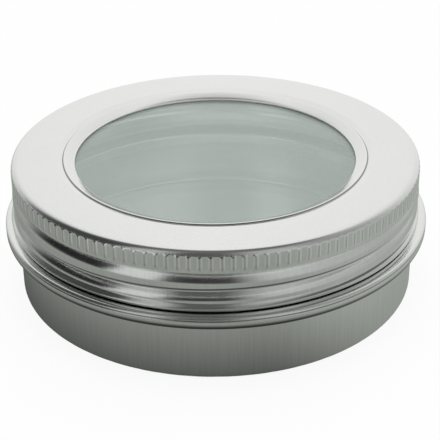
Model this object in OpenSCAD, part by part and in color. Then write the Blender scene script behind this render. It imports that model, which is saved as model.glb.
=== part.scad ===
// Round screw-top tin with a clear window in its lid, all sizes in millimetres.
// The origin is the centre of the underside, +Z is up, and the lid is screwed down.

/* [Sheet] */
// Thickness of the aluminium sheet of base and lid
sheet = 0.4; // [0.3:0.05:0.45]

/* [Base] */
// Outside diameter of the straight wall
body_d = 78.8; // [74:0.2:90]
// Height of the base from the table to the top of its rolled rim
base_h = 23.6; // [23.3:0.1:30]
// Outside radius of the corner between wall and floor
corner_r = 1.5; // [1:0.1:4]
// How far the stacking bead stands out from the wall
bead_out = 2.35; // [1.6:0.05:3]
// Height of the bead's lower edge above the table
bead_low = 12.6; // [10:0.1:13.2]
// Height of the bead's outer face
bead_h = 1.85; // [1.4:0.05:2.2]
// Fall of the bead's top from the neck to its outer edge
bead_fall = 0.35; // [0.1:0.05:0.5]
// Outside radius of the rolled rim
roll_r = 0.7; // [0.6:0.05:0.9]

/* [Lid] */
// How far the lid's knurled band stands out from the wall of the base
lid_out = 0.45; // [0.35:0.05:0.8]
// How far the threaded skirt stands out from the knurled band
skirt_out = 0.12; // [0.08:0.02:0.2]
// Outside radius of the shoulder between top and band
shoulder_r = 1.35; // [1:0.05:2]
// Distance from the lid's top to the lower edge of its plain band
band_drop = 4.35; // [4:0.05:5]
// Distance from the lid's top to the lower end of the flutes
flute_drop = 3.6; // [3:0.05:3.8]
// Number of flutes round the band
flute_count = 130; // [60:1:140]
// Depth of a flute
flute_depth = 0.17; // [0.1:0.01:0.2]
// Width of the land between two flutes
flute_land = 0.3; // [0.2:0.05:0.8]
// Gap between the skirt's lower edge and the top of the bead
skirt_gap = 0.3; // [0.2:0.05:1]

/* [Window] */
// Diameter of the opening in the lid's top
window_d = 55; // [40:0.1:57]
// Width of the rounded ring between the opening and the crease round it
ring_w = 2.4; // [1.8:0.1:3]
// Fall of the ring from the crease to the opening
ring_fall = 0.75; // [0.4:0.05:0.9]
// Depth of the crease below the lid's top
ring_drop = 0.3; // [0.15:0.05:0.4]
// Width of the slope from the lid's top down to the crease
slope_w = 1.15; // [0.8:0.05:1.5]
// Thickness of the clear disc
pane_t = 0.5; // [0.3:0.05:0.8]

/* [Seal] */
// Thickness of the foam ring between the disc and the rim
seal_t = 1; // [0.8:0.05:2]
// Width of the foam ring
seal_w = 2.7; // [2.4:0.1:6]
// Gap between the foam ring and the rim
seal_gap = 0.1; // [0.05:0.05:0.3]

/* [Thread] */
// Rise of the lid in one turn
pitch = 3.5; // [3.2:0.1:4]
// Depth of the rolled thread
thread_depth = 0.45; // [0.4:0.05:0.5]
// Half the width of the groove rolled into the lid
groove_half = 0.75; // [0.6:0.05:0.8]
// Gap between the lid's skirt and the crest of the neck's thread
crest_gap = 0.25; // [0.2:0.05:0.35]
// Gap between the tip of the lid's thread and the neck
root_gap = 0.2; // [0.15:0.05:0.3]
// Direction of the first groove's middle where it faces the front, counted from the skirt's end
thread_front_z = 4.17; // [3.9:0.01:4.4]

/* [Hidden] */
$fn = 96;

half = sheet / 2;
arc_steps = 6; // straight steps in a quarter turn of a bend
pane_gap = 0.05; // between the disc and the edge of the opening, which holds it down
ring_bend = 0.4; // share of the ring's width where it bends over
ring_steep = 0.72; // share of its fall inside that bend
pane_fit = 0.15; // between the disc's edge and the inside of the lid
bend_r = 0.35; // middle line of the bead's bends

body_r = body_d / 2;
bead_r = body_r + bead_out;
lid_r = body_r + lid_out;
skirt_r = lid_r + skirt_out;
skirt_in = skirt_r - sheet;

// The stack over the rim sets where the lid's top lies
seal_z = base_h + seal_gap;
pane_z = seal_z + seal_t;
edge_top = pane_z + pane_t + pane_gap + sheet;
crease_z = edge_top + ring_fall;
top_z = crease_z + ring_drop;
shoulder_in = shoulder_r - sheet;
over_pane = ring_drop + ring_fall + pane_gap;
shoulder_rest = max(0, shoulder_in - over_pane);
pane_r = lid_r - shoulder_r + sqrt(shoulder_in * shoulder_in - shoulder_rest * shoulder_rest) - pane_fit;

// The bead, the lid's edge above it and the neck inside the lid
bead_top = bead_low + bead_h;
foot_top = bead_top + bead_fall;
skirt_low = foot_top + skirt_gap;
band_low = top_z - band_drop;
neck_r = skirt_in - thread_depth - root_gap;
crest_h = skirt_in - crest_gap - neck_r;

// The helix: z of the lid's groove at angle a, in degrees, where -90 faces the front
steps = 72; // facets in one turn
flank_rows = 2; // rows of facets on a flank
joint_out = 0.05; // by which a threaded tube's outside lies inside the sheet it joins
joint_in = 0.02; // by which its inside lies outside the inner face of that sheet
joint_lap = 0.12; // by which it reaches into that sheet
fade = 60; // degrees over which a thread grows to its full depth
function helix_z(a) = skirt_low + thread_front_z + pitch * (a + 90) / 360;
function helix_a(z) = (z - skirt_low - thread_front_z) / pitch * 360 - 90;
rib_half = groove_half + 0.25;
lid_start = helix_a(skirt_low + 0.15);
lid_end = helix_a(band_low - rib_half - 0.25);

// The neck's thread fills the space between two turns of the lid's thread
neck_half = pitch / 2 - 0.4;
neck_flank = 0.6;
neck_start = helix_a(foot_top + neck_half + 0.1 - pitch / 2);
neck_low = foot_top + 0.1;
neck_high = base_h - 2 * roll_r;
neck_end = helix_a(neck_high - neck_half + 0.2 - pitch / 2);
skirt_high = band_low - 0.45;

/*
A strip of sheet along a path of corners [x, z, bend radius], all on its middle line.
Each bend is an arc, and both faces of the strip are drawn from the same centre.
*/
function unit(v) = v / norm(v);
function left(v) = [-v[1], v[0]];
function flat2(p) = [p[0], p[1]];
function bend(a, b, c, off) =
    let (
        u = unit(flat2(b) - flat2(a)),
        w = unit(flat2(c) - flat2(b)),
        side = sign(u[0] * w[1] - u[1] * w[0]),
        turn = acos(max(-1, min(1, u * w))),
        middle = flat2(b) - u * b[2] * tan(turn / 2) + left(u) * side * b[2],
        first = atan2(-left(u)[1] * side, -left(u)[0] * side),
        n = max(2, ceil(turn / 90 * arc_steps))
    )
    [for (i = [0:n])
        let (a = first + side * turn * i / n)
        middle + (b[2] - side * off) * [cos(a), sin(a)]];
function strip_side(path, off) =
    let (last = len(path) - 1)
    concat(
        [flat2(path[0]) + left(unit(flat2(path[1]) - flat2(path[0]))) * off],
        [for (i = [1:last - 1]) for (p = bend(path[i - 1], path[i], path[i + 1], off)) p],
        [flat2(path[last]) + left(unit(flat2(path[last]) - flat2(path[last - 1]))) * off]
    );
function reversed(list) = [for (i = [len(list) - 1:-1:0]) list[i]];

module strip(path) {
    polygon(concat(strip_side(path, half), reversed(strip_side(path, -half))));
}

/*
A tube of sheet with a thread rolled into it, from z_low to z_high, as one mesh. Its rows of
points climb with the thread, so row i at the end of a turn meets row i + rows at its start,
and rows that would leave the tube lie on its end. r is the outside radius away from the
thread, height is how far the thread stands out, or in where it is negative, top is half the
width of its crest and foot is half the width of its base.
*/
function ease(x) = (1 - cos(180 * max(0, min(1, x)))) / 2;
function clamp(x, low, high) = max(low, min(high, x));
function grown(a, a0, a1) = ease((a - a0) / fade) * ease((a1 - a) / fade);
function swell(a, z, top, foot, a0, a1, lift) =
    max([for (k = [-2:1])
        let (turned = a + 360 * k, s = abs(z - helix_z(turned) - lift))
        turned < a0 || turned > a1 ? 0 : grown(turned, a0, a1) * ease((foot - s) / (foot - top))]);

module threaded_tube(r, z_low, z_high, height, top, foot, a0, a1, lift) {
    crest = [for (i = [0:flank_rows]) foot + (top - foot) * i / flank_rows];
    mirror_from = top > 0 ? 0 : 1;
    offsets = concat(
        [for (s = crest) -s],
        [for (i = [len(crest) - 1 - mirror_from:-1:0]) crest[i]]
    );
    rows = len(offsets);
    first = floor(helix_a(z_low - lift) / 360) - 1;
    turns = ceil(helix_a(z_high - lift) / 360) + 1 - first;
    outer = r - joint_out;
    inner = (r - sheet + joint_in) / cos(180 / steps);
    function row_z(i, j) = clamp(
        helix_z(360 * (first + floor(i / rows) + j / steps)) + lift + offsets[i % rows],
        z_low, z_high);
    count = rows * turns;
    function point(i, j, face) = let (
        z = row_z(i, j),
        a = 360 * j / steps,
        h = height * swell(a, z, top, foot, a0, a1, lift)
    ) [((face == 0 ? outer : inner) + h) * cos(a), ((face == 0 ? outer : inner) + h) * sin(a), z];
    points = [for (face = [0, 1]) for (j = [0:steps - 1]) for (i = [0:count - 1]) point(i, j, face)];
    function at(i, j, face) = let (
        round = j >= steps ? 1 : 0,
        row = clamp(i + round * rows, 0, count - 1)
    ) face * steps * count + (j - round * steps) * count + row;
    walls = [for (j = [0:steps - 1]) for (i = [0:count - 2]) let (
        p = at(i, j, 0), q = at(i, j + 1, 0), p2 = at(i + 1, j, 0), q2 = at(i + 1, j + 1, 0),
        u = at(i, j, 1), v = at(i, j + 1, 1), u2 = at(i + 1, j, 1), v2 = at(i + 1, j + 1, 1)
    ) for (t = [[p, q2, q], [p, p2, q2], [u, v, v2], [u, v2, u2]]) t];
    ends = [for (j = [0:steps - 1]) let (
        p = at(0, j, 0), q = at(0, j + 1, 0), u = at(0, j, 1), v = at(0, j + 1, 1),
        last = count - 1,
        p2 = at(last, j, 0), q2 = at(last, j + 1, 0), u2 = at(last, j, 1), v2 = at(last, j + 1, 1)
    ) for (t = [[p, q, v], [p, v, u], [p2, v2, q2], [p2, u2, v2]]) t];
    function real(t) = norm(cross(points[t[1]] - points[t[0]], points[t[2]] - points[t[0]])) > 0.0001;
    polyhedron(points = points, faces = [for (t = concat(walls, ends)) if (real(t)) t], convexity = 10);
}

// Base: floor, wall, stacking bead, neck and a rim rolled inwards, from one piece of sheet
cup_path = [
    [0, half, 0],
    [body_r - half, half, corner_r - half],
    [body_r - half, bead_low + half - 0.15, bend_r],
    [bead_r - half, bead_low + half, bend_r],
    [bead_r - half, bead_top - half, bend_r],
    [neck_r - half, foot_top - half, bend_r],
    [neck_r - half, neck_low, 0]
];
rim_path = [
    [neck_r - half, neck_high, 0],
    [neck_r - half, base_h - half, roll_r - half],
    [neck_r + half - 2 * roll_r, base_h - half, roll_r - half],
    [neck_r + half - 2 * roll_r, base_h + half - 2 * roll_r, roll_r - half],
    [neck_r - roll_r, base_h + half - 2 * roll_r, 0]
];

module base_cup() {
    color([0.76, 0.77, 0.76]) {
        rotate_extrude($fn = 180) strip(cup_path);
        threaded_tube(neck_r, neck_low - joint_lap, neck_high + joint_lap, crest_h,
            neck_half - neck_flank, neck_half, neck_start, neck_end, pitch / 2);
        rotate_extrude($fn = 180) strip(rim_path);
    }
}

// Lid: rounded ring, crease, top, shoulder, knurled band and threaded skirt
lid_path = [
    [window_d / 2, edge_top - half, 0],
    [window_d / 2 + ring_w * ring_bend, edge_top - half + ring_fall * ring_steep, 1],
    [window_d / 2 + ring_w, crease_z - half, 0.3],
    [window_d / 2 + ring_w + slope_w, top_z - half, 0.5],
    [lid_r - half, top_z - half, shoulder_r - half],
    [lid_r - half, band_low, 0.25],
    [skirt_r - half, band_low - 0.25, 0.25],
    [skirt_r - half, skirt_high, 0]
];

module flutes() {
    width = 2 * PI * lid_r / flute_count - flute_land;
    flute_r = width * width / 8 / flute_depth + flute_depth / 2;
    translate([0, 0, top_z - flute_drop])
        linear_extrude(flute_drop)
            for (i = [0:flute_count - 1])
                rotate(360 * (i + 0.5) / flute_count)
                    translate([lid_r + flute_r - flute_depth, 0])
                        circle(r = flute_r, $fn = 32);
}

module lid_shell() {
    color([0.83, 0.84, 0.83]) {
        difference() {
            rotate_extrude($fn = 180) strip(lid_path);
            flutes();
        }
        threaded_tube(skirt_r, skirt_low, skirt_high + joint_lap, -thread_depth,
            0, groove_half, lid_start, lid_end, 0);
    }
}

// Clear disc, held down by the ring and held up by the foam ring
module window_pane() {
    color([0.85, 0.9, 0.9, 0.35])
    translate([0, 0, pane_z]) cylinder(r = pane_r, h = pane_t, $fn = 180);
}

// Foam ring that the rim presses on
module seal_ring() {
    color([0.95, 0.95, 0.93])
    translate([0, 0, seal_z])
    rotate_extrude($fn = 180)
        translate([pane_r - seal_w, 0]) square([seal_w, seal_t]);
}

base_cup();
lid_shell();
window_pane();
seal_ring();
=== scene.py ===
import math
import bpy
import numpy as np
from mathutils import Matrix, Vector


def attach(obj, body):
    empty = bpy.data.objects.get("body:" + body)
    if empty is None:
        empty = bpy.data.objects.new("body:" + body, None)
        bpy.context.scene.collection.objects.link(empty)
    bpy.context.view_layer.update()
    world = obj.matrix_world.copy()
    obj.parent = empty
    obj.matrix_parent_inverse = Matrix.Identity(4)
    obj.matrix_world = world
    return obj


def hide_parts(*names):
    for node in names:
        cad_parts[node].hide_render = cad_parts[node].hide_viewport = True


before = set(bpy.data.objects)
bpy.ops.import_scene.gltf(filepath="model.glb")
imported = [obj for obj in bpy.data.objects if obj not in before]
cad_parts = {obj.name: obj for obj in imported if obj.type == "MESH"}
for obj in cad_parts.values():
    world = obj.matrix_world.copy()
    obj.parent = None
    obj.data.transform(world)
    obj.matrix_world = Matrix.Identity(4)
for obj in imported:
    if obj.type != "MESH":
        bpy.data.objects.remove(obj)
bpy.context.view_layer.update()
mm = 0.001
print("frame loaded:", ", ".join(sorted(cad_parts)))


# Sheet profiles, in mm. A path is a list of corners (radius, height, bend) on the middle of the sheet.
# A profile's rows are (radius, height, side), and side is 1 outside the piece and -1 inside it.

def unit(v):
    return v / np.linalg.norm(v)


def leftOf(v):
    return np.array((-v[1], v[0]))


def bendPoints(before, corner, after, bend, off, perQuarter):
    u = unit(corner - before)
    w = unit(after - corner)
    side = 1 if u[0] * w[1] - u[1] * w[0] > 0 else -1
    turn = math.acos(max(-1, min(1, float(u @ w))))
    centre = corner - u * bend * math.tan(turn / 2) + leftOf(u) * side * bend
    first = math.atan2(-leftOf(u)[1] * side, -leftOf(u)[0] * side)
    count = max(3, math.ceil(turn / (math.pi / 2) * perQuarter))
    radius = bend - side * off
    return [centre + radius * np.array((math.cos(first + side * turn * i / count),
                                        math.sin(first + side * turn * i / count)))
            for i in range(count + 1)]


def stripSide(path, off, perQuarter=9):
    corners = [np.array(p[:2], float) for p in path]
    points = [corners[0] + leftOf(unit(corners[1] - corners[0])) * off]
    for i in range(1, len(path) - 1):
        points += bendPoints(corners[i - 1], corners[i], corners[i + 1], path[i][2], off, perQuarter)
    points.append(corners[-1] + leftOf(unit(corners[-1] - corners[-2])) * off)
    return points


# A cut edge of the sheet, rounded off, from its left side to its right side
def cutEdge(centre, heading, half, steps=6):
    angle = math.atan2(heading[1], heading[0])
    return [centre + half * np.array((math.cos(angle + math.pi / 2 - math.pi * i / steps),
                                      math.sin(angle + math.pi / 2 - math.pi * i / steps)))
            for i in range(1, steps)]


# Splits long steps of a profile where a relief needs rows
def withRows(rows, spacing):
    full = []
    for a, b in zip(rows, rows[1:]):
        a, b = np.array(a, float), np.array(b, float)
        count = max(1, math.ceil(np.linalg.norm(b[:2] - a[:2]) / spacing((a + b) / 2)))
        full += [a + (b - a) * i / count for i in range(count)]
    return full + [np.array(rows[-1], float)]


# Turns a profile round the upright axis. counts gives the points in each row, and relief moves them
# along the radius. Faces of more corners join rows of different counts. A row on the axis is one point.
def turned(name, rows, counts, relief, closed):
    vertices, starts, sizes = [], [], []
    for (radius, height, side), count in zip(rows, counts):
        starts.append(len(vertices))
        if radius < 1e-6:
            sizes.append(1)
            vertices.append((0, 0, height * mm))
            continue
        sizes.append(count)
        angles = 2 * math.pi * np.arange(count) / count
        radii = radius + relief(angles, radius, height, side)
        vertices += list(zip((radii * np.cos(angles) * mm).tolist(),
                             (radii * np.sin(angles) * mm).tolist(), [height * mm] * count))
    faces = []
    pairs = list(zip(range(len(rows) - 1), range(1, len(rows))))
    if closed:
        pairs.append((len(rows) - 1, 0))
    for i, k in pairs:
        few, many = sorted((i, k), key=lambda row: sizes[row])
        share = sizes[many] // sizes[few]
        for j in range(sizes[few] if sizes[few] > 1 else sizes[many]):
            if sizes[few] == 1:
                face = [starts[few], starts[many] + j, starts[many] + (j + 1) % sizes[many]]
            else:
                fan = [starts[many] + (j * share + n) % sizes[many] for n in range(share + 1)]
                face = [starts[few] + (j + 1) % sizes[few], starts[few] + j] + fan
            faces.append(face if few == i else face[::-1])
    mesh = bpy.data.meshes.new(name)
    mesh.from_pydata(vertices, [], faces)
    mesh.polygons.foreach_set("use_smooth", [True] * len(mesh.polygons))
    mesh.update()
    piece = bpy.data.objects.new(name, mesh)
    bpy.context.scene.collection.objects.link(piece)
    return piece


def easing(x):
    x = np.clip(x, 0, 1)
    return (1 - np.cos(math.pi * x)) / 2


# The screw thread that lid and neck share, in mm and degrees, where -90 degrees is the front. The lid's
# groove has a steep upper side and a long lower side, and the neck's rib fits between two turns of it.
thread = {
    "pitch": 3.5, "frontHeight": 19.33, "fade": 50,
    "grooveDepth": 0.48, "edge": 0.2, "steep": 0.58, "floor": 0.72, "long": 2.5, "lowSideCurve": 1.5,
    "grooveStart": -462, "grooveEnd": 95,
    "ribHeight": 0.3, "ribFoot": 0.05, "ribCrest": 0.7, "ribSlope": 1.0, "ribTop": 2.7,
    "ribStart": -440, "ribEnd": -88}


def helixHeight(degrees):
    return thread["frontHeight"] + thread["pitch"] * (degrees + 90) / 360


# The largest value of a profile over the turns of the helix. It is given the height over the helix.
def overTurns(angles, height, profile, start, end):
    degrees = np.degrees(angles)
    most = np.zeros_like(degrees)
    for turn in range(-4, 4):
        at = degrees + 360 * turn
        grown = easing((at - start) / thread["fade"]) * easing((end - at) / thread["fade"])
        most = np.maximum(most, grown * profile(height - helixHeight(at)))
    return most


def grooveProfile(above):
    below = np.clip((above + thread["long"]) / (thread["long"] - thread["floor"]), 0, 1)
    steep = 1 - easing((above - thread["edge"]) / thread["steep"] + 1)
    return thread["grooveDepth"] * np.minimum(below ** thread["lowSideCurve"], steep)


def ribProfile(above):
    rising = easing((above - thread["ribFoot"]) / (thread["ribCrest"] - thread["ribFoot"]))
    falling = np.clip((thread["ribTop"] - above) / (thread["ribTop"] - thread["ribSlope"]), 0, 1)
    return thread["ribHeight"] * np.minimum(rising, falling)


# Lid: ring that rises from the opening to a lip, crease, flat top, shoulder, knurled band, plain band
# and threaded skirt with a flared hem. The lead is the slope from the plain band down to the groove.
lid = {
    "sheet": 0.4, "opening": 55, "openingHeight": 25.57, "openingEdge": (0.17, 0.08),
    "ringRise": (1, 0.46), "ringLip": (29.58, 26.55), "crease": (29.86, 26.27),
    "flatStart": 31.05, "top": 26.7,
    "radius": 39.85, "shoulder": 1.35, "bandLow": 22.35, "bandStep": 0.25, "skirtRadius": 39.97,
    "skirtLow": 15, "flareTop": 16.3, "hem": 40.6, "hemHeight": 15.52, "hemTurn": 0.22,
    "bends": {
        "ring": 2, "lip": 0.28, "crease": 0.24, "flat": 0.5, "band": 0.25, "flare": 0.6, "hem": 0.38},
    "plainLip": 0.2, "leadLow": 20.35, "leadDepth": 0.36, "leadCurve": 1.5,
    "flutes": 130, "fluteDepth": 0.11, "fluteLand": 0.22, "fluteEdge": 0.42, "fluteLow": 22.75,
    "fluteFade": 0.8, "fluteRadius": 38.4, "around": 260, "perFlute": 16,
    "skirtFrom": 39, "skirtRowsTop": 22.3, "rowsOnTop": 2.5, "rowsOnSkirt": 0.09, "rowsOnBand": 0.16,
    "rowsInside": 0.2}


def lidProfile():
    half = lid["sheet"] / 2
    bends = lid["bends"]
    opening = lid["opening"] / 2
    openingMiddle = lid["openingHeight"] - half
    path = [
        (opening + lid["openingEdge"][0], openingMiddle + lid["openingEdge"][1], 0),
        (opening + lid["ringRise"][0], openingMiddle + lid["ringRise"][1], bends["ring"]),
        (lid["ringLip"][0], lid["ringLip"][1] - half, bends["lip"]),
        (lid["crease"][0], lid["crease"][1] - half, bends["crease"]),
        (lid["flatStart"], lid["top"] - half, bends["flat"]),
        (lid["radius"] - half, lid["top"] - half, lid["shoulder"] - half),
        (lid["radius"] - half, lid["bandLow"], bends["band"]),
        (lid["skirtRadius"] - half, lid["bandLow"] - lid["bandStep"], bends["band"]),
        (lid["skirtRadius"] - half, lid["flareTop"], bends["flare"]),
        (lid["hem"] - half, lid["hemHeight"], bends["hem"]),
        (lid["hem"] - half - lid["hemTurn"], lid["skirtLow"] + half, 0),
    ]
    outside = [(r, z, 1) for r, z in stripSide(path, half)]
    inside = [(r, z, -1) for r, z in stripSide(path, -half)]
    end = np.array(path[-1][:2])
    hemEdge = [(r, z, 1) for r, z in cutEdge(end, end - np.array(path[-2][:2]), half)]
    start = np.array(path[0][:2])
    openingEdge = [(r, z, 1) for r, z in cutEdge(start, start - np.array(path[1][:2]), half)]

    def spacing(row):
        radius, height, side = row
        if radius < lid["skirtFrom"]:
            return lid["rowsOnTop"]
        if side > 0:
            return lid["rowsOnSkirt"] if height < lid["skirtRowsTop"] else lid["rowsOnBand"]
        return lid["rowsInside"]

    return withRows(outside + hemEdge + inside[::-1] + openingEdge, spacing)


# The band lies as deep as the flutes, and narrow lands rise between them
def fluteCut(angles, height):
    pitch = 2 * math.pi * lid["radius"] / lid["flutes"]
    turn = angles * lid["flutes"] / (2 * math.pi)
    across = (turn - np.floor(turn) - 0.5) * pitch
    wide = easing(((pitch - lid["fluteLand"]) / 2 - np.abs(across)) / lid["fluteEdge"])
    grown = easing((height - lid["fluteLow"]) / lid["fluteFade"])
    return lid["fluteDepth"] * (1 - (1 - wide) * float(grown))


def lidRelief(angles, radius, height, side):
    move = np.zeros_like(angles)
    if radius > lid["skirtFrom"] and height < lid["bandLow"]:
        groove = overTurns(angles, height, grooveProfile, thread["grooveStart"], thread["grooveEnd"])
        lead = max(0, height - lid["leadLow"]) / (lid["bandLow"] - lid["plainLip"] - lid["leadLow"])
        leadIn = lid["leadDepth"] * min(1, lead) ** lid["leadCurve"]
        grown = float(easing((lid["bandLow"] - height) / lid["plainLip"]))
        move -= np.maximum(groove, leadIn) * grown
    if side > 0 and height > lid["bandLow"] and radius > lid["fluteRadius"]:
        move = np.minimum(move, lid["radius"] - fluteCut(angles, height) - radius)
    return move


def lidCounts(rows):
    def fluted(radius, height, side):
        return side > 0 and height > lid["fluteLow"] - 0.1 and radius > lid["fluteRadius"]

    return [lid["flutes"] * lid["perFlute"] if fluted(*row) else lid["around"] for row in rows]


lidRows = lidProfile()
lidShell = turned("lidShell", lidRows, lidCounts(lidRows), lidRelief, True)
print("lid:", len(lidShell.data.polygons), "faces")


# Base: floor, wall, stacking bead, threaded neck and rolled rim
base = {
    "sheet": 0.4, "radius": 39.3, "corner": 1.2, "bend": 0.35,
    "beadRadius": 41.75, "beadLow": 12, "beadDroop": 0.15, "underBend": 0.85,
    "beadTop": 14.66, "topBend": 0.38,
    "crease": 13.95, "creaseHalf": 0.18, "creaseDepth": 0.09, "creaseRows": (41, 14.3),
    "neckFoot": 14.85, "neckRadius": 38.92, "rim": 23.6, "roll": 0.7, "rollEdge": 0.12,
    "neckFrom": 38, "neckRows": (14.9, 22.2), "around": 360,
    "floorTo": 37, "beadRowsLow": 13, "neckRowsTop": 23,
    "rowsOnFloor": 4, "rowsOnBead": 0.07, "rowsOnNeck": 0.22, "rowsElsewhere": 0.5}


def baseProfile():
    half = base["sheet"] / 2
    roll = base["roll"]
    neck = base["neckRadius"]
    path = [
        (0, half, 0),
        (base["radius"] - half, half, base["corner"] - half),
        (base["radius"] - half, base["beadLow"] + half - base["beadDroop"], base["bend"]),
        (base["beadRadius"] - half, base["beadLow"] + half, base["underBend"]),
        (base["beadRadius"] - half, base["beadTop"] - half, base["topBend"]),
        (neck - half, base["neckFoot"] - half, base["bend"]),
        (neck - half, base["rim"] - half, roll - half),
        (neck + half - 2 * roll, base["rim"] - half, roll - half),
        (neck + half - 2 * roll, base["rim"] + half - 2 * roll, roll - half),
        (neck - roll, base["rim"] + half - 2 * roll, 0),
    ]
    outside = [(r, z, 1) for r, z in stripSide(path, -half)]
    inside = [(r, z, -1) for r, z in stripSide(path, half)]
    end = np.array(path[-1][:2])
    edge = [(end[0] + base["rollEdge"] * math.cos(a), end[1] + half * math.sin(a), 1)
            for a in np.linspace(-math.pi / 2, math.pi / 2, 5)[1:-1]]

    def spacing(row):
        radius, height, side = row
        if radius < base["floorTo"]:
            return base["rowsOnFloor"]
        if radius > base["creaseRows"][0] and height > base["beadRowsLow"]:
            return base["rowsOnBead"]
        if base["neckRows"][0] < height < base["neckRowsTop"]:
            return base["rowsOnNeck"]
        return base["rowsElsewhere"]

    return withRows(outside + edge + inside[::-1], spacing)


def baseRelief(angles, radius, height, side):
    if side > 0 and radius > base["creaseRows"][0] and height < base["creaseRows"][1]:
        crease = easing(1 - abs(height - base["crease"]) / base["creaseHalf"])
        return np.full_like(angles, -base["creaseDepth"] * float(crease))
    if radius < base["neckFrom"] or not base["neckRows"][0] < height < base["neckRows"][1]:
        return np.zeros_like(angles)
    return overTurns(angles, height, ribProfile, thread["ribStart"], thread["ribEnd"])


baseRows = baseProfile()
baseCup = turned("baseCup", baseRows, [base["around"]] * len(baseRows), baseRelief, False)
print("base:", len(baseCup.data.polygons), "faces")


# Clear disc and foam ring, each turned from a profile with eased edges
disc = {"radius": 39.3, "low": 24.7, "high": 25.2, "ease": 0.12, "rimWidth": 4, "around": 260}
foam = {"outer": 39.3, "inner": 36.6, "low": 23.7, "high": 24.7, "ease": 0.25, "around": 260}


def easedBox(left, right, low, high, ease, steps=4):
    rows = []
    for corner, (x, z) in enumerate(((right, low), (right, high), (left, high), (left, low))):
        centre = (x - ease if x == right else x + ease, z + ease if z == low else z - ease)
        for i in range(steps + 1):
            a = math.pi / 2 * (corner - 1 + i / steps)
            rows.append((centre[0] + ease * math.cos(a), centre[1] + ease * math.sin(a), 1))
    return rows


def level(angles, radius, height, side):
    return np.zeros_like(angles)


discInner = disc["radius"] - disc["rimWidth"]
discRim = easedBox(discInner, disc["radius"], disc["low"], disc["high"], disc["ease"])
discRows = [(0, disc["low"], 1)] + discRim[:len(discRim) // 2] + [(0, disc["high"], 1)]
windowDisc = turned("windowDisc", discRows, [disc["around"]] * len(discRows), level, False)
foamRows = easedBox(foam["inner"], foam["outer"], foam["low"], foam["high"], foam["ease"])
foamRing = turned("foamRing", foamRows, [foam["around"]] * len(foamRows), level, True)
print("disc and foam ring made")


# Materials. A Wire is an output of a node, and arithmetic on it adds Math nodes.

class Wire:
    def __init__(self, graph, socket):
        self.graph = graph
        self.socket = socket

    def __add__(self, other):
        return self.graph.function("ADD", self, other)

    def __radd__(self, other):
        return self.graph.function("ADD", other, self)

    def __sub__(self, other):
        return self.graph.function("SUBTRACT", self, other)

    def __rsub__(self, other):
        return self.graph.function("SUBTRACT", other, self)

    def __mul__(self, other):
        return self.graph.function("MULTIPLY", self, other)

    def __rmul__(self, other):
        return self.graph.function("MULTIPLY", other, self)


class Graph:
    def __init__(self, owner):
        owner.use_nodes = True
        self.tree = owner.node_tree
        self.tree.nodes.clear()

    def node(self, kind, settings=None, sockets=None, output=0):
        made = self.tree.nodes.new(kind)
        for name, value in (settings or {}).items():
            if name == "stops":
                ramp = made.color_ramp
                while len(ramp.elements) < len(value):
                    ramp.elements.new(1)
                for element, (place, tone) in zip(ramp.elements, value):
                    element.position = place
                    element.color = (*tone, 1)
            else:
                setattr(made, name, value)
        for name, value in (sockets or {}).items():
            if isinstance(value, Wire):
                self.tree.links.new(value.socket, made.inputs[name])
            else:
                made.inputs[name].default_value = value
        return Wire(self, made.outputs[output]) if made.outputs else None

    def split(self, vector, part):
        return self.node("ShaderNodeSeparateXYZ", {}, {0: vector}, part)

    # 0 below low, 1 above high, smooth between
    def step(self, value, low, high):
        return self.node("ShaderNodeMapRange", {"interpolation_type": "SMOOTHSTEP"},
                         {"Value": value, "From Min": low, "From Max": high})

    # 1 below low, 0 above high, smooth between
    def fall(self, value, low, high):
        return 1 - self.step(value, low, high)

    # 1 on a line, smooth to 0 at half its width
    def line(self, value, middle, half, core=0.4):
        return self.fall(self.function("ABSOLUTE", value - middle), half * core, half)

    def function(self, operation, *values):
        return self.node("ShaderNodeMath", {"operation": operation}, dict(enumerate(values)))

    def mixColour(self, share, first, second):
        return self.node("ShaderNodeMix", {"data_type": "RGBA"}, {0: share, 6: first, 7: second}, 2)

    def noise(self, vector, scale, detail=3, roughness=0.5):
        return self.node("ShaderNodeTexNoise", {}, {"Vector": vector, "Scale": scale, "Detail": detail,
                                                    "Roughness": roughness})

    # Multiplies a vector or a colour, part by part
    def stretched(self, vector, factors):
        return self.node("ShaderNodeVectorMath", {"operation": "MULTIPLY"}, {0: vector, 1: factors})

    def fromAxis(self, place):
        flat = self.stretched(place, (1, 1, 0))
        return self.node("ShaderNodeVectorMath", {"operation": "LENGTH"}, {0: flat}, 1)


def colour(red, green, blue):
    return (red, green, blue, 1)


def grey(strength):
    return colour(strength, strength, strength)


# Two tones for each piece, and the sheet's drawn lines (brush), slow changes (soft) and fine grain
aluminium = {
    "lid": ((0.85, 0.855, 0.835), (0.795, 0.80, 0.78)), "lidRoughness": 0.15,
    "base": ((0.86, 0.865, 0.84), (0.8, 0.81, 0.79)), "baseRoughness": 0.18, "spread": 0.05,
    "brushScale": 2600, "brushStretch": (1, 1, 0.03), "brushEdges": (0.35, 0.65), "brushShare": 0.6,
    "softScale": 160, "softStretch": (1, 1, 0.25), "grainScale": 5200,
    "bump": 0.4, "bumpDepth": 0.02, "brushBump": 0.7}


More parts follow.
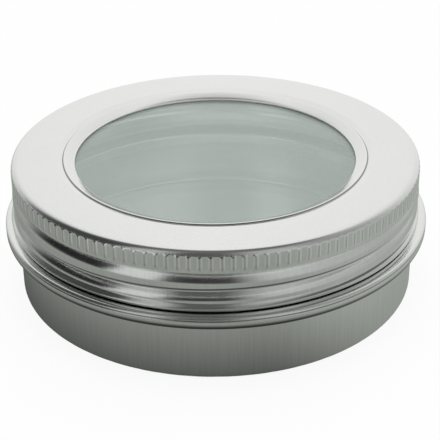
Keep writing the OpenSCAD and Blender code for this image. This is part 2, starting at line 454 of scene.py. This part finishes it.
def brushedAluminium(name, tones, roughness, shade, metal):
    look = aluminium
    material = bpy.data.materials.new(name)
    graph = Graph(material)
    place = graph.node("ShaderNodeTexCoord", output=3)
    inMm = graph.stretched(place, (1 / mm, 1 / mm, 1 / mm))
    brush = graph.noise(graph.stretched(place, look["brushStretch"]), look["brushScale"], 2)
    soft = graph.noise(graph.stretched(place, look["softStretch"]), look["softScale"], 3)
    grain = graph.noise(place, look["grainScale"], 2)
    lines = graph.step(brush, *look["brushEdges"])
    share = soft * (1 - look["brushShare"]) + lines * look["brushShare"]
    tone = graph.mixColour(share, colour(*tones[0]), colour(*tones[1]))
    bump = graph.node("ShaderNodeBump", {}, {
        "Strength": look["bump"], "Distance": look["bumpDepth"] * mm,
        "Height": brush * look["brushBump"] + grain * (1 - look["brushBump"])})
    # The base colour is multiplied by the piece's painted shade and highlights
    shader = graph.node("ShaderNodeBsdfPrincipled", {}, {
        "Base Color": graph.stretched(tone, shade(graph, inMm)),
        "Metallic": metal(graph, inMm),
        "Roughness": soft * look["spread"] + (roughness - look["spread"] / 2),
        "Normal": bump})
    graph.node("ShaderNodeOutputMaterial", {}, {"Surface": shader})
    return material


# Painted shade and highlights in the metal's colour: painted shade along the thread groove, on the
# lid's ring crease, on the lands between flutes, in the base's bead crease and under the bead, and
# painted highlights on the flute edges. Inside the cup the metal is painted darker, with soft painted
# light bands that stand in for reflections and painted shade in the bead's recess and on a ring of the
# floor. Places are in mm, turns are shares of a full turn from the tin's right, and a line is its
# middle and half its width.
paintedShadeAndHighlights = {
    "groove": 0.3, "grooveLine": (-0.15, 0.42),
    "upperFade": (0.125, 0.264), "lowerStart": (-0.283, -0.144),
    "ring": 0.35, "ringLine": (29.76, 0.17), "ringFront": (0, 15),
    "fluteHighlightsAndShade": ((0, 0.93), (0.42, 0.95), (0.64, 1.17), (0.84, 0.94), (1, 0.68)),
    "bandLow": (22.8, 23.3), "bandHigh": (25.2, 25.7),
    "bead": (40.2, 40.6), "crease": 0.5, "creaseHalf": 0.16, "under": 0.2, "underEdge": (12.7, 13.45)}
# Painted light and shade inside the cup: a darker tone, lifted bands, and shaded bead recess and floor
# ring
paintedInsideLight = {
    "tone": 0.84, "neck": (38.6, 38.7), "wall": (38.95, 39.05), "wallTop": (13, 14),
    "bandLift": 0.38, "neckBand": (17.3, 1.9), "wallBand": (11.2, 1.6),
    "beadShade": 0.4, "beadLow": (12.25, 12.4), "beadHigh": (14.25, 14.4), "beadOut": (41.4, 41.5),
    "floorShade": 0.2, "floorRing": (36, 3), "floorTop": (0.5, 0.7)}
cutEdgeLook = {"edge": (27.62, 27.78), "metal": 0.45}


# Painted shade and highlights on the lid, multiplied into the metal's colour
def lidShade(graph, place):
    height = graph.split(place, 2)
    turn = graph.function("ARCTAN2", graph.split(place, 1), graph.split(place, 0)) * (0.5 / math.pi)
    above = height - ((turn + 0.25) * thread["pitch"] + thread["frontHeight"])
    # Painted shade along two turns of the thread groove
    upper = graph.line(above, *paintedShadeAndHighlights["grooveLine"]) * graph.fall(turn, *paintedShadeAndHighlights["upperFade"])
    lower = graph.line(above + thread["pitch"], *paintedShadeAndHighlights["grooveLine"])
    groove = 1 - (upper + lower * graph.step(turn, *paintedShadeAndHighlights["lowerStart"])) * (1 - paintedShadeAndHighlights["groove"])
    # Painted shade on the ring crease, towards the front of the lid only
    front = graph.fall(graph.split(place, 1), *paintedShadeAndHighlights["ringFront"])
    ring = 1 - graph.line(graph.fromAxis(place), *paintedShadeAndHighlights["ringLine"]) * front * (1 - paintedShadeAndHighlights["ring"])
    # Painted highlights on the flute edges and painted shade on the lands, within the knurled band
    phase = graph.function("FRACT", turn * lid["flutes"])
    across = graph.function("ABSOLUTE", phase - 0.5) * 2
    stops = [(at, (tone, tone, tone)) for at, tone in paintedShadeAndHighlights["fluteHighlightsAndShade"]]
    flutes = graph.node("ShaderNodeValToRGB", {"stops": stops}, {0: across})
    band = graph.step(height, *paintedShadeAndHighlights["bandLow"]) * graph.fall(height, *paintedShadeAndHighlights["bandHigh"])
    return graph.stretched(graph.mixColour(band, grey(1), flutes), groove * ring)


# The cut edge of the opening is duller than the sheet's faces
def lidMetal(graph, place):
    return 1 - graph.fall(graph.fromAxis(place), *cutEdgeLook["edge"]) * (1 - cutEdgeLook["metal"])


# Painted shade and light on the base, multiplied into the metal's colour
def baseShade(graph, place):
    height = graph.split(place, 2)
    away = graph.fromAxis(place)
    # Outside, painted shade in the bead's crease and on the bead's lower edge, where shade falls under
    # it
    crease = graph.line(height, base["crease"], paintedShadeAndHighlights["creaseHalf"]) * (1 - paintedShadeAndHighlights["crease"])
    under = graph.fall(height, *paintedShadeAndHighlights["underEdge"]) * (1 - paintedShadeAndHighlights["under"])
    outside = 1 - graph.step(away, *paintedShadeAndHighlights["bead"]) * (crease + under)
    # Inside the cup, the metal is painted darker, with soft painted light bands on the neck and wall
    # that stand in for reflections
    neck = graph.fall(away, *paintedInsideLight["neck"])
    wall = graph.fall(away, *paintedInsideLight["wall"]) * graph.fall(height, *paintedInsideLight["wallTop"])
    neckBand = neck * graph.line(height, *paintedInsideLight["neckBand"])
    wallBand = wall * graph.line(height, *paintedInsideLight["wallBand"])
    # Painted shade in the bead's recess and on a ring of the inside floor
    bead = graph.step(height, *paintedInsideLight["beadLow"]) * graph.fall(height, *paintedInsideLight["beadHigh"])
    beadShade = bead * graph.fall(away, *paintedInsideLight["beadOut"]) * paintedInsideLight["beadShade"]
    onFloor = neck * graph.fall(height, *paintedInsideLight["floorTop"])
    floorShade = onFloor * graph.line(away, *paintedInsideLight["floorRing"]) * paintedInsideLight["floorShade"]
    within = (neck + wall * (1 - neck)) * (1 - paintedInsideLight["tone"])
    lifted = outside * (1 - within) + (neckBand + wallBand) * paintedInsideLight["bandLift"]
    return lifted - beadShade - floorShade


def baseMetal(graph, place):
    return 1.0


plastic = {"tint": (0.85, 0.95, 0.905), "veil": 0.235, "haze": 0.03, "hazeScale": 45,
           "roughness": 0.1, "ior": 1.5}


def clearPlastic():
    material = bpy.data.materials.new("clearPlastic")
    graph = Graph(material)
    haze = graph.noise(graph.node("ShaderNodeTexCoord", output=3), plastic["hazeScale"], 3)
    shader = graph.node("ShaderNodeBsdfPrincipled", {}, {
        "Base Color": colour(*plastic["tint"]),
        "Roughness": plastic["roughness"],
        "IOR": plastic["ior"],
        "Alpha": haze * plastic["haze"] + plastic["veil"]})
    graph.node("ShaderNodeOutputMaterial", {}, {"Surface": shader})
    return material


foamLook = {"tones": ((0.86, 0.86, 0.84), (0.8, 0.8, 0.78)), "cellScale": 3500, "roughness": 0.9,
            "bump": 0.4, "bumpDepth": 0.05}


def whiteFoam():
    material = bpy.data.materials.new("whiteFoam")
    graph = Graph(material)
    place = graph.node("ShaderNodeTexCoord", output=3)
    cells = graph.node("ShaderNodeTexVoronoi", {}, {"Vector": place, "Scale": foamLook["cellScale"]})
    bump = graph.node("ShaderNodeBump", {}, {
        "Strength": foamLook["bump"], "Distance": foamLook["bumpDepth"] * mm, "Height": cells})
    tone = graph.mixColour(cells, colour(*foamLook["tones"][0]), colour(*foamLook["tones"][1]))
    shader = graph.node("ShaderNodeBsdfPrincipled", {}, {
        "Base Color": tone, "Roughness": foamLook["roughness"], "Normal": bump})
    graph.node("ShaderNodeOutputMaterial", {}, {"Surface": shader})
    return material


lidAluminium = brushedAluminium(
    "lidAluminium", aluminium["lid"], aluminium["lidRoughness"], lidShade, lidMetal)
baseAluminium = brushedAluminium(
    "baseAluminium", aluminium["base"], aluminium["baseRoughness"], baseShade, baseMetal)
for piece, material, body, node, slot in (
        (lidShell, lidAluminium, "lid", "lid_shell", "lid_aluminium"),
        (baseCup, baseAluminium, "base", "base_cup", "base_aluminium"),
        (windowDisc, clearPlastic(), "window", "window_pane", "clear_plastic"),
        (foamRing, whiteFoam(), "window", "seal_ring", "foam")):
    piece.data.materials.append(material)
    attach(piece, body)
    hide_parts(node)
print("materials made")


# Stage, in metres: a pale floor, a soft lamp overhead and a bright room
stage = {"floor": (0.86, 0.87, 0.86), "lift": 0.92, "reach": 3}
lamp = {"height": 1.1, "size": 0.9, "power": 9}


# White to the camera, in mirrors and through the window, but for the share that keeps the tin's shadow
def floorMaterial():
    material = bpy.data.materials.new("paleFloor")
    graph = Graph(material)
    camera = graph.node("ShaderNodeLightPath", output=0)
    glossy = graph.node("ShaderNodeLightPath", output=3)
    through = graph.node("ShaderNodeLightPath", output=6)
    paper = graph.node("ShaderNodeBsdfDiffuse", {}, {"Color": colour(*stage["floor"])})
    white = graph.node("ShaderNodeEmission", {}, {"Color": grey(1), "Strength": 1.0})
    lit = graph.node("ShaderNodeMixShader", {}, {
        0: (camera + glossy + through) * stage["lift"], 1: paper, 2: white})
    graph.node("ShaderNodeOutputMaterial", {}, {"Surface": lit})
    return material


def stageMesh(name, vertices, faces, material):
    mesh = bpy.data.meshes.new(name)
    mesh.from_pydata(vertices, [], faces)
    mesh.materials.append(material)
    made = bpy.data.objects.new(name, mesh)
    bpy.context.scene.collection.objects.link(made)
    return made


def floorPlane():
    reach = stage["reach"]
    stageMesh("floor", [(-reach, -reach, 0), (reach, -reach, 0), (reach, reach, 0), (-reach, reach, 0)],
              [(0, 1, 2, 3)], floorMaterial())


# A broad soft lamp overhead, which the metal doesn't mirror
def hangLamp():
    data = bpy.data.lights.new("softLamp", "AREA")
    data.size = lamp["size"]
    data.energy = lamp["power"]
    hung = bpy.data.objects.new("softLamp", data)
    hung.location = (0, 0, lamp["height"])
    bpy.context.scene.collection.objects.link(hung)
    hung.visible_glossy = False


# The room as the metal mirrors it: strengths round the tin, in degrees, where 0 is the camera's side
# and minus is its left. The walls go up to the high edge, a share of straight up. Above it is the
# ceiling, darker at the camera's side than at the back.
room = {
    "walls": ((-180, 0.95), (-150, 0.85), (-135, 0.72), (-122, 0.5), (-112, 0.2), (-100, 0.07),
              (-60, 0.05), (-54, 0.08), (-48, 0.42), (-34, 0.5), (-27, 0.34), (-20, 0.1),
              (4, 0.11), (14, 0.3), (22, 0.42), (38, 0.5), (50, 0.36), (66, 0.32),
              (84, 0.38), (100, 0.5), (118, 0.7), (135, 0.82), (180, 0.95)),
    "table": ((-180, 0.9), (-135, 0.6), (-112, 0.45), (-100, 0.33), (-90, 0.07), (-84, 0.015),
              (-51, 0.015), (-45, 0.7), (-28, 0.68), (-21, 0.07), (-15, 0.035), (6, 0.045),
              (14, 0.3), (22, 0.5), (32, 0.56), (50, 0.5), (90, 0.46), (110, 0.6),
              (150, 0.85), (180, 0.9)),
    "ceiling": (0.15, 0.95), "ceilingEdge": (0.05, 0.42), "highEdge": (0.72, 0.97),
    "tint": (0.97, 1, 0.99), "tintBelow": 0.8}


def roundTheTin(graph, vector, strengths):
    heading = graph.function("ARCTAN2", graph.split(vector, 0), graph.split(vector, 1) * -1)
    stops = []
    for degrees, strength in strengths:
        tint = room["tint"] if strength < room["tintBelow"] else (1, 1, 1)
        stops.append((0.5 + degrees / 360, tuple(strength * part for part in tint)))
    return graph.node("ShaderNodeValToRGB", {"stops": stops}, {0: heading * (0.5 / math.pi) + 0.5})


# A glowing card on the floor that only the metal mirrors: a painted reflection of the table, with a
# painted contact shadow of the tin. In mm from the tin's axis: dark at the foot, grey round it, and
# further out as the room's table. Each tone is for the left and the right side.
paintedReflectionCard = {
    "near": 39, "grey": 56, "greyEnd": 84, "roomStart": 100, "far": 800, "height": 0.05,
    "foot": (0.1, 0.34), "tone": (0.28, 0.44), "outerTone": (0.37, 0.43), "sides": (0.2, 0.95),
    "tint": (0.95, 1, 0.94)}


def paintedReflectionMaterial():
    material = bpy.data.materials.new("paintedReflectionCard")
    graph = Graph(material)
    place = graph.node("ShaderNodeTexCoord", output=3)
    away = graph.node("ShaderNodeVectorMath", {"operation": "LENGTH"}, {0: place}, 1)
    heading = graph.node("ShaderNodeVectorMath", {"operation": "NORMALIZE"}, {0: place})
    side = graph.step(graph.split(heading, 0), *paintedReflectionCard["sides"])

    def bothSides(name):
        left, right = paintedReflectionCard[name]
        return graph.mixColour(side, colour(*[left * part for part in paintedReflectionCard["tint"]]),
                               colour(*[right * part for part in paintedReflectionCard["tint"]]))

    def between(low, high):
        return graph.node("ShaderNodeMapRange", {}, {
            "Value": away, "From Min": paintedReflectionCard[low] * mm, "From Max": paintedReflectionCard[high] * mm})

    # Painted contact shadow at the foot, fading to grey and then to the room's table
    near = graph.mixColour(between("near", "grey"), bothSides("foot"), bothSides("tone"))
    outer = graph.mixColour(between("grey", "greyEnd"), near, bothSides("outerTone"))
    table = roundTheTin(graph, place, room["table"])
    tone = graph.mixColour(between("greyEnd", "roomStart"), outer, table)
    # The card glows in these painted tones, though it is no lamp
    shine = graph.node("ShaderNodeEmission", {}, {"Color": tone, "Strength": 1.0})
    graph.node("ShaderNodeOutputMaterial", {}, {"Surface": shine})
    return material


def layPaintedReflectionCard(segments=48):
    angles = [2 * math.pi * i / segments for i in range(segments)]
    vertices = [(radius * math.cos(a) * mm, radius * math.sin(a) * mm, paintedReflectionCard["height"] * mm)
                for radius in (paintedReflectionCard["near"], paintedReflectionCard["far"]) for a in angles]
    faces = [(i, segments + i, segments + (i + 1) % segments, (i + 1) % segments)
             for i in range(segments)]
    card = stageMesh("paintedReflectionCard", vertices, faces, paintedReflectionMaterial())
    card.visible_camera = card.visible_diffuse = card.visible_shadow = False


def studioWorld():
    world = bpy.data.worlds.new("studio")
    bpy.context.scene.world = world
    graph = Graph(world)
    towards = graph.node("ShaderNodeTexCoord", output=0)
    high = graph.step(graph.split(towards, 2), *room["highEdge"])
    front, back = room["ceiling"]
    backShare = graph.step(graph.split(towards, 1), *room["ceilingEdge"])
    ceiling = graph.mixColour(backShare, grey(front), grey(back))
    lit = graph.mixColour(high, roundTheTin(graph, towards, room["walls"]), ceiling)
    seen = graph.mixColour(graph.node("ShaderNodeLightPath", output=0), lit, grey(1))
    background = graph.node("ShaderNodeBackground", {}, {"Color": seen, "Strength": 1.0})
    graph.node("ShaderNodeOutputWorld", {}, {"Surface": background})


floorPlane()
hangLamp()
layPaintedReflectionCard()
studioWorld()
print("stage and light made")


# Camera at the photograph's place, in mm and degrees
view = {"distance": 250, "elevation": 28.393, "aimHeight": 13,
        "yaw": 0.183, "pitch": -0.404, "roll": -0.587,
        "focalPixels": 1240.96, "widthPixels": 440, "sensor": 36, "near": 10}


def placeCamera():
    tilt = math.radians(view["elevation"])
    place = Vector((0, -view["distance"] * math.cos(tilt), view["distance"] * math.sin(tilt)))
    forward = -place.normalized()
    right = Vector((1, 0, 0))
    forward += math.tan(math.radians(view["yaw"])) * right
    forward += math.tan(math.radians(view["pitch"])) * right.cross(-place.normalized())
    forward.normalize()
    right = forward.cross(Vector((0, 0, 1))).normalized()
    up = right.cross(forward)
    roll = math.radians(view["roll"])
    rolledRight = math.cos(roll) * right + math.sin(roll) * up
    rolledUp = -math.sin(roll) * right + math.cos(roll) * up
    place = place + Vector((0, 0, view["aimHeight"]))
    data = bpy.data.cameras.new("camera")
    data.sensor_width = view["sensor"]
    data.lens = view["focalPixels"] / view["widthPixels"] * view["sensor"]
    data.clip_start = view["near"] * mm
    camera = bpy.data.objects.new("camera", data)
    bpy.context.scene.collection.objects.link(camera)
    camera.matrix_world = Matrix((
        (rolledRight.x, rolledUp.x, -forward.x, place.x * mm),
        (rolledRight.y, rolledUp.y, -forward.y, place.y * mm),
        (rolledRight.z, rolledUp.z, -forward.z, place.z * mm),
        (0, 0, 0, 1)))
    bpy.context.scene.camera = camera


placeCamera()
bpy.context.scene.view_settings.view_transform = "Standard"
print("camera placed")
